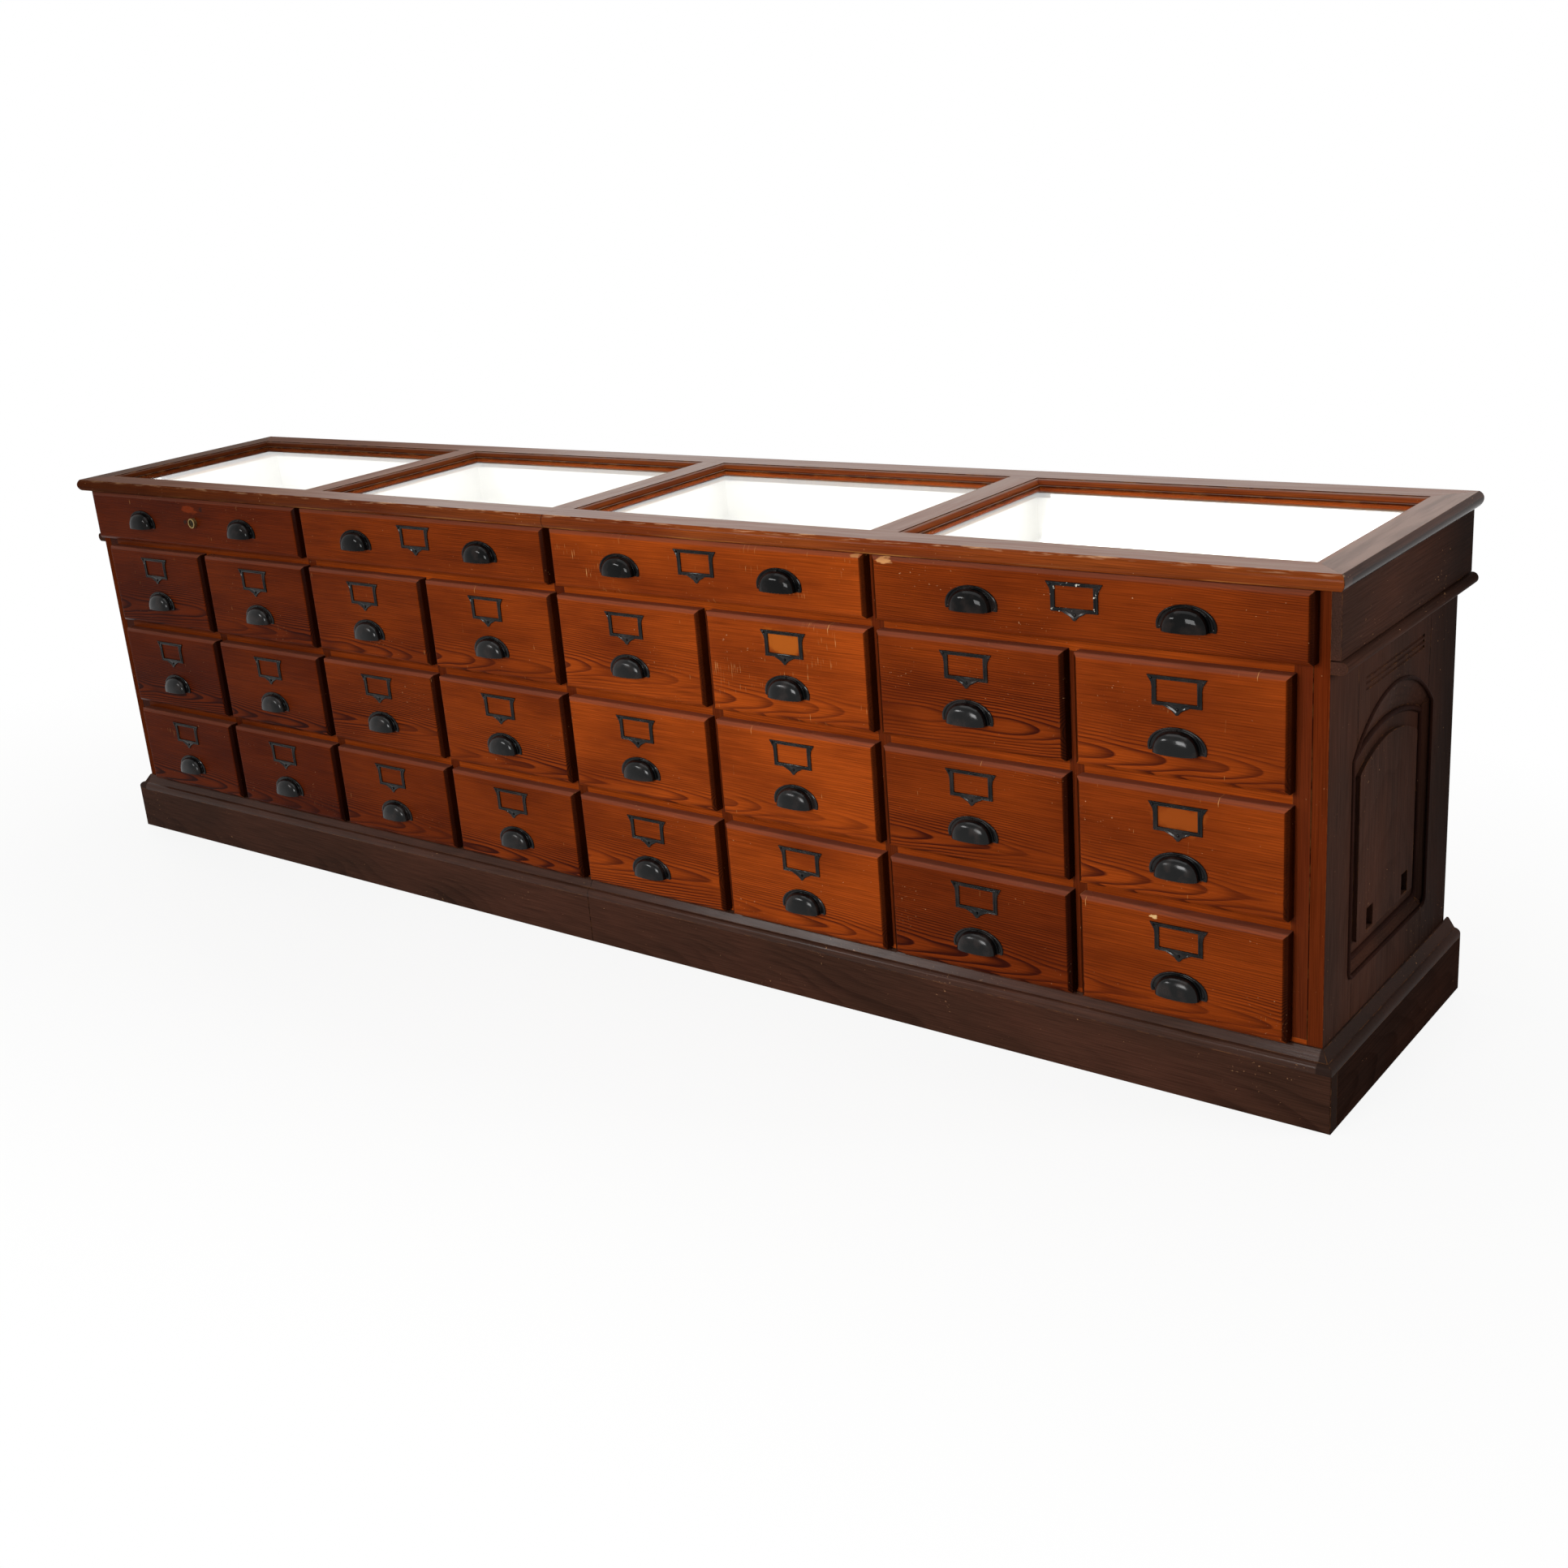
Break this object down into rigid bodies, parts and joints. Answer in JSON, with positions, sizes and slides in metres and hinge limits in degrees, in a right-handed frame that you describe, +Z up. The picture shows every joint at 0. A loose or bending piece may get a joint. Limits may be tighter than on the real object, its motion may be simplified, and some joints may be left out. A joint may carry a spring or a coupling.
{
  "type": "haberdashery cabinet",
  "caption": "Long low shop counter with rows of small drawers under wide shallow ones, cup pulls and label holders, panelled ends, a moulded plinth and a glazed display top.",
  "frame": {"origin": "on the floor, below the middle of the cabinet's box", "axes": "+Z up, +X along the length to the right seen from the front, drawers open towards -Y"},
  "size_m": [3.022, 0.598, 0.866],
  "materials": {
    "front_wood": "shellac over pine",
    "dark_wood": "dark stain, worn",
    "top_wood": "worn varnish",
    "inner_wood": "bare pine",
    "black_iron": "black japanned",
    "old_brass": "tarnished",
    "clear_glass": "clear"
  },
  "bodies": {
    "carcass": {"plinth_front": "dark_wood", "plinth_ends": "dark_wood", "plinth_moulding": "dark_wood", "end_frame_left": "dark_wood", "end_frame_right": "dark_wood", "end_panel_left": "dark_wood", "end_panel_right": "dark_wood", "end_frieze_left": "dark_wood", "end_frieze_right": "dark_wood", "end_moulding_left": "dark_wood", "end_moulding_right": "dark_wood", "front_rails": "front_wood", "partitions": "front_wood", "end_linings": "front_wood", "top_shelves": "front_wood", "carcass_floor": "inner_wood", "floor_bearers": "inner_wood", "dust_boards": "inner_wood", "back_boards": "inner_wood", "top_front_rails": "top_wood", "top_back_rails": "top_wood", "top_end_rails": "top_wood", "top_cross_bars": "top_wood", "glazing_beads": "top_wood", "glass_panes": "clear_glass"},
    "drawer_row_1_col_1": {"drawer_row_1_col_1": "front_wood"},
    "drawer_row_1_col_2": {"drawer_row_1_col_2": "front_wood"},
    "drawer_row_1_col_3": {"drawer_row_1_col_3": "front_wood"},
    "drawer_row_1_col_4": {"drawer_row_1_col_4": "front_wood"},
    "drawer_row_1_col_5": {"drawer_row_1_col_5": "front_wood"},
    "drawer_row_1_col_6": {"drawer_row_1_col_6": "front_wood"},
    "drawer_row_1_col_7": {"drawer_row_1_col_7": "front_wood"},
    "drawer_row_1_col_8": {"drawer_row_1_col_8": "front_wood"},
    "drawer_row_2_col_1": {"drawer_row_2_col_1": "front_wood"},
    "drawer_row_2_col_2": {"drawer_row_2_col_2": "front_wood"},
    "drawer_row_2_col_3": {"drawer_row_2_col_3": "front_wood"},
    "drawer_row_2_col_4": {"drawer_row_2_col_4": "front_wood"},
    "drawer_row_2_col_5": {"drawer_row_2_col_5": "front_wood"},
    "drawer_row_2_col_6": {"drawer_row_2_col_6": "front_wood"},
    "drawer_row_2_col_7": {"drawer_row_2_col_7": "front_wood"},
    "drawer_row_2_col_8": {"drawer_row_2_col_8": "front_wood"},
    "drawer_row_3_col_1": {"drawer_row_3_col_1": "front_wood"},
    "drawer_row_3_col_2": {"drawer_row_3_col_2": "front_wood"},
    "drawer_row_3_col_3": {"drawer_row_3_col_3": "front_wood"},
    "drawer_row_3_col_4": {"drawer_row_3_col_4": "front_wood"},
    "drawer_row_3_col_5": {"drawer_row_3_col_5": "front_wood"},
    "drawer_row_3_col_6": {"drawer_row_3_col_6": "front_wood"},
    "drawer_row_3_col_7": {"drawer_row_3_col_7": "front_wood"},
    "drawer_row_3_col_8": {"drawer_row_3_col_8": "front_wood"},
    "drawer_top_1": {"drawer_top_1": "front_wood", "drawer_top_1_fittings": "black_iron", "lock_case": "old_brass"},
    "drawer_top_2": {"drawer_top_2": "front_wood", "drawer_top_2_fittings": "black_iron"},
    "drawer_top_3": {"drawer_top_3": "front_wood", "drawer_top_3_fittings": "black_iron"},
    "drawer_top_4": {"drawer_top_4": "front_wood", "drawer_top_4_fittings": "black_iron"},
    "lock_plug": {"lock_plug": "old_brass"},
    "lock_bolt": {"lock_bolt": "old_brass"}
  },
  "joints": [
    {"name": "drawer_row_1_col_1_slide", "type": "slide", "parent": "carcass", "child": "drawer_row_1_col_1", "axis": [0, -1, 0], "range_m": [0, 0.4]},
    {"name": "drawer_row_1_col_2_slide", "type": "slide", "parent": "carcass", "child": "drawer_row_1_col_2", "axis": [0, -1, 0], "range_m": [0, 0.4]},
    {"name": "drawer_row_1_col_3_slide", "type": "slide", "parent": "carcass", "child": "drawer_row_1_col_3", "axis": [0, -1, 0], "range_m": [0, 0.4]},
    {"name": "drawer_row_1_col_4_slide", "type": "slide", "parent": "carcass", "child": "drawer_row_1_col_4", "axis": [0, -1, 0], "range_m": [0, 0.4]},
    {"name": "drawer_row_1_col_5_slide", "type": "slide", "parent": "carcass", "child": "drawer_row_1_col_5", "axis": [0, -1, 0], "range_m": [0, 0.4]},
    {"name": "drawer_row_1_col_6_slide", "type": "slide", "parent": "carcass", "child": "drawer_row_1_col_6", "axis": [0, -1, 0], "range_m": [0, 0.4]},
    {"name": "drawer_row_1_col_7_slide", "type": "slide", "parent": "carcass", "child": "drawer_row_1_col_7", "axis": [0, -1, 0], "range_m": [0, 0.4]},
    {"name": "drawer_row_1_col_8_slide", "type": "slide", "parent": "carcass", "child": "drawer_row_1_col_8", "axis": [0, -1, 0], "range_m": [0, 0.4]},
    {"name": "drawer_row_2_col_1_slide", "type": "slide", "parent": "carcass", "child": "drawer_row_2_col_1", "axis": [0, -1, 0], "range_m": [0, 0.4]},
    {"name": "drawer_row_2_col_2_slide", "type": "slide", "parent": "carcass", "child": "drawer_row_2_col_2", "axis": [0, -1, 0], "range_m": [0, 0.4]},
    {"name": "drawer_row_2_col_3_slide", "type": "slide", "parent": "carcass", "child": "drawer_row_2_col_3", "axis": [0, -1, 0], "range_m": [0, 0.4]},
    {"name": "drawer_row_2_col_4_slide", "type": "slide", "parent": "carcass", "child": "drawer_row_2_col_4", "axis": [0, -1, 0], "range_m": [0, 0.4]},
    {"name": "drawer_row_2_col_5_slide", "type": "slide", "parent": "carcass", "child": "drawer_row_2_col_5", "axis": [0, -1, 0], "range_m": [0, 0.4]},
    {"name": "drawer_row_2_col_6_slide", "type": "slide", "parent": "carcass", "child": "drawer_row_2_col_6", "axis": [0, -1, 0], "range_m": [0, 0.4]},
    {"name": "drawer_row_2_col_7_slide", "type": "slide", "parent": "carcass", "child": "drawer_row_2_col_7", "axis": [0, -1, 0], "range_m": [0, 0.4]},
    {"name": "drawer_row_2_col_8_slide", "type": "slide", "parent": "carcass", "child": "drawer_row_2_col_8", "axis": [0, -1, 0], "range_m": [0, 0.4]},
    {"name": "drawer_row_3_col_1_slide", "type": "slide", "parent": "carcass", "child": "drawer_row_3_col_1", "axis": [0, -1, 0], "range_m": [0, 0.4]},
    {"name": "drawer_row_3_col_2_slide", "type": "slide", "parent": "carcass", "child": "drawer_row_3_col_2", "axis": [0, -1, 0], "range_m": [0, 0.4]},
    {"name": "drawer_row_3_col_3_slide", "type": "slide", "parent": "carcass", "child": "drawer_row_3_col_3", "axis": [0, -1, 0], "range_m": [0, 0.4]},
    {"name": "drawer_row_3_col_4_slide", "type": "slide", "parent": "carcass", "child": "drawer_row_3_col_4", "axis": [0, -1, 0], "range_m": [0, 0.4]},
    {"name": "drawer_row_3_col_5_slide", "type": "slide", "parent": "carcass", "child": "drawer_row_3_col_5", "axis": [0, -1, 0], "range_m": [0, 0.4]},
    {"name": "drawer_row_3_col_6_slide", "type": "slide", "parent": "carcass", "child": "drawer_row_3_col_6", "axis": [0, -1, 0], "range_m": [0, 0.4]},
    {"name": "drawer_row_3_col_7_slide", "type": "slide", "parent": "carcass", "child": "drawer_row_3_col_7", "axis": [0, -1, 0], "range_m": [0, 0.4]},
    {"name": "drawer_row_3_col_8_slide", "type": "slide", "parent": "carcass", "child": "drawer_row_3_col_8", "axis": [0, -1, 0], "range_m": [0, 0.4]},
    {"name": "drawer_top_1_slide", "type": "slide", "parent": "carcass", "child": "drawer_top_1", "axis": [0, -1, 0], "range_m": [0, 0.4]},
    {"name": "drawer_top_2_slide", "type": "slide", "parent": "carcass", "child": "drawer_top_2", "axis": [0, -1, 0], "range_m": [0, 0.4]},
    {"name": "drawer_top_3_slide", "type": "slide", "parent": "carcass", "child": "drawer_top_3", "axis": [0, -1, 0], "range_m": [0, 0.4]},
    {"name": "drawer_top_4_slide", "type": "slide", "parent": "carcass", "child": "drawer_top_4", "axis": [0, -1, 0], "range_m": [0, 0.4]},
    {"name": "lock_plug_turn", "type": "hinge", "parent": "drawer_top_1", "child": "lock_plug", "pos_m": [-1.083, -0.251, 0.788], "axis": [0, 1, 0], "range_deg": [0, 90]},
    {"name": "lock_bolt_slide", "type": "slide", "parent": "drawer_top_1", "child": "lock_bolt", "axis": [0, 0, 1], "range_m": [0, 0.012]}
  ],
  "couplings": [
    {"joint": "lock_plug_turn", "follows": "lock_bolt_slide", "rad_per_m": 130.9}
  ]
}
